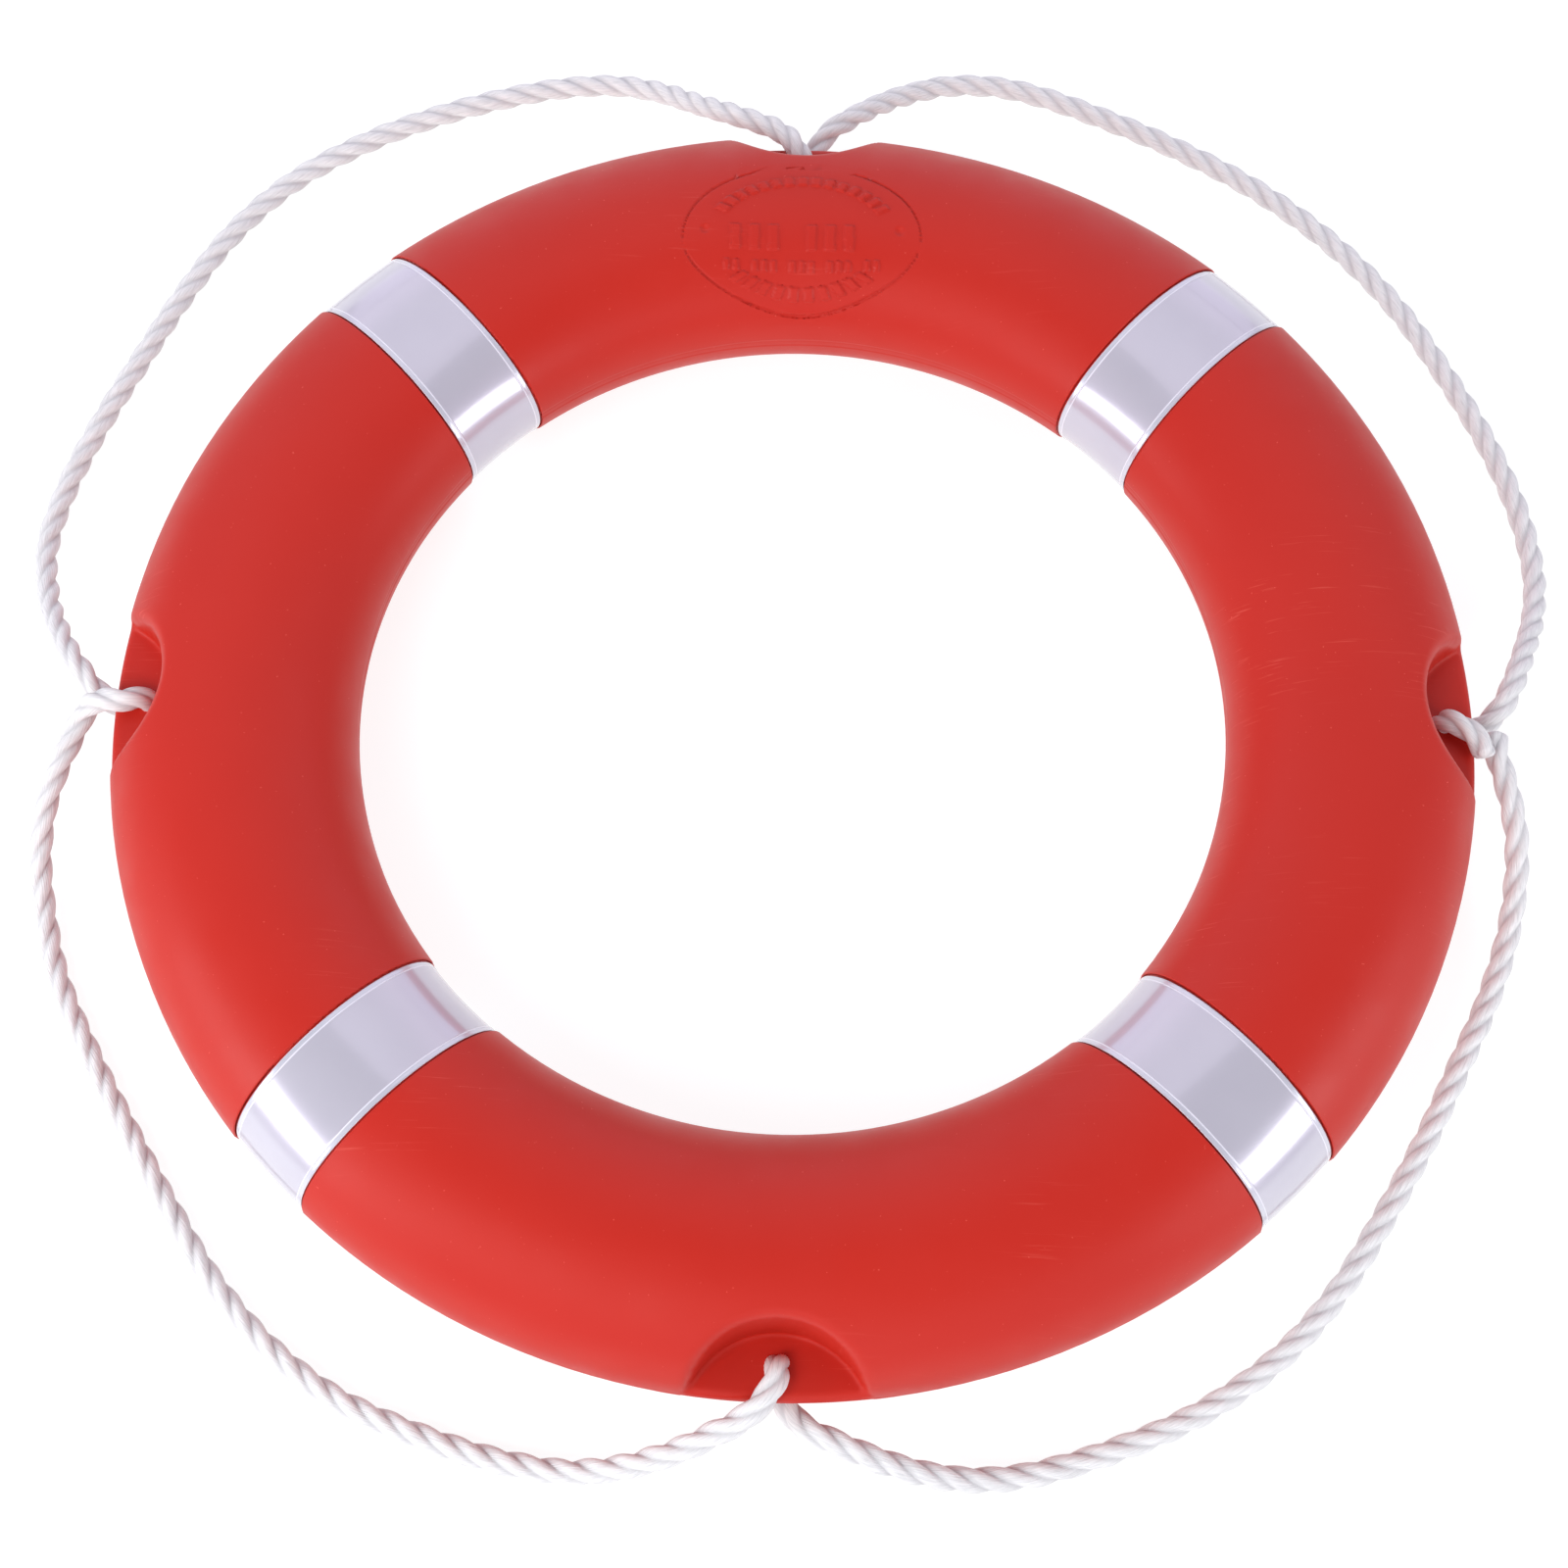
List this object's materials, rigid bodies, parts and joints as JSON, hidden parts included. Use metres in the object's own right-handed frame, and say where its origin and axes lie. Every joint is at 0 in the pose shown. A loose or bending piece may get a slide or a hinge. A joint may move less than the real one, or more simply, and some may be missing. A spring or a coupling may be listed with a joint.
{
  "type": "ring lifebuoy",
  "caption": "Foam-filled ring lifebuoy with reflective bands round the tube and a white grab line looped between webs in its outer rim.",
  "frame": {"origin": "on the plane the ring rests on, on the ring's axis", "axes": "+Z along the ring's axis from the rear face up to the face with the moulded oval panel; the rope anchors are on +X, +Y, -X and -Y; -Y is the side nearest the viewer"},
  "size_m": [0.8489, 0.8435, 0.102],
  "materials": {
    "shell_plastic": "semi-matte red-orange moulded polyethylene with fine grain",
    "plug_plastic": "semi-matte red-orange moulded plastic",
    "foam": "rigid closed-cell polyurethane foam, not visible",
    "reflective_film": "glossy silver-grey retroreflective film with clear sealed edges",
    "rope": "white twisted three-strand polypropylene rope with a soft sheen"
  },
  "bodies": {
    "ring": {"shell": "shell_plastic", "foam_core": "foam", "filler_plug": "plug_plastic", "vent_plug": "plug_plastic", "reflective_band_back_right": "reflective_film", "reflective_band_back_left": "reflective_film", "reflective_band_front_left": "reflective_film", "reflective_band_front_right": "reflective_film", "rope_turn_right": "rope", "rope_turn_back": "rope", "rope_turn_left": "rope", "rope_turn_front": "rope", "rope_splice_right": "rope"},
    "span_back_right": {"rope_span_back_right": "rope"},
    "span_back_left": {"rope_span_back_left": "rope"},
    "span_front_left": {"rope_span_front_left": "rope"},
    "span_front_right": {"rope_span_front_right": "rope"}
  },
  "joints": [
    {"name": "back_right_span_swing", "type": "hinge", "parent": "ring", "child": "span_back_right", "pos_m": [0.382, 0.0202, 0.043], "axis": [0.7083, -0.7059, -0.0016], "range_deg": [0, 100]},
    {"name": "back_left_span_swing", "type": "hinge", "parent": "ring", "child": "span_back_left", "pos_m": [-0.0285, 0.379, 0.053], "axis": [0.7015, 0.7124, 0.019], "range_deg": [0, 100]},
    {"name": "front_left_span_swing", "type": "hinge", "parent": "ring", "child": "span_front_left", "pos_m": [-0.382, -0.017, 0.047], "axis": [-0.7058, 0.7084, -0.0095], "range_deg": [0, 100]},
    {"name": "front_right_span_swing", "type": "hinge", "parent": "ring", "child": "span_front_right", "pos_m": [0.0202, -0.3734, 0.0426], "axis": [-0.715, -0.6991, -0.0089], "range_deg": [0, 100]}
  ]
}
